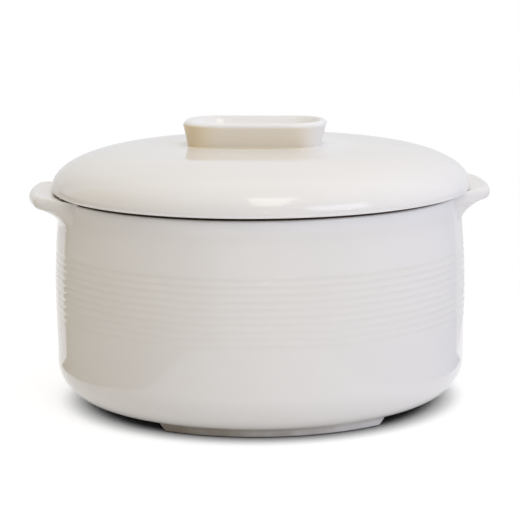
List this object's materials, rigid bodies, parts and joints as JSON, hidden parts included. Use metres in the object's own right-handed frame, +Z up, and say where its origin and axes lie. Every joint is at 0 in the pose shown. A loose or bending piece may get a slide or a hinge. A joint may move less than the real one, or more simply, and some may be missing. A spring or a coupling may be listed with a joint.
{
  "type": "covered casserole dish",
  "caption": "Round covered casserole dish with lug handles, a ribbed band and arc feet, and a low domed lift-off lid with an oblong dished knob.",
  "frame": {"origin": "on the pot's axis at table height, centre of the box's underside", "axes": "+X along the two lug handles, +Y away from the front foot, +Z up along the way the lid lifts"},
  "size_m": [0.2566, 0.2334, 0.1571],
  "materials": {
    "pot_glaze": "glossy ivory-white glaze",
    "lid_glaze": "glossy ivory-white glaze",
    "foot_glaze": "glossy glaze with a wiped standing face"
  },
  "bodies": {
    "pot": {"pot_body": "pot_glaze", "left_lug": "pot_glaze", "right_lug": "pot_glaze", "front_foot": "foot_glaze", "rear_right_foot": "foot_glaze", "rear_left_foot": "foot_glaze"},
    "lid": {"lid_shell": "lid_glaze", "lid_locating_ring": "lid_glaze", "lid_knob": "lid_glaze"}
  },
  "joints": [
    {"name": "lid_lift", "type": "slide", "parent": "pot", "child": "lid", "axis": [0, 0, 1], "range_m": [0, 0.15]}
  ]
}
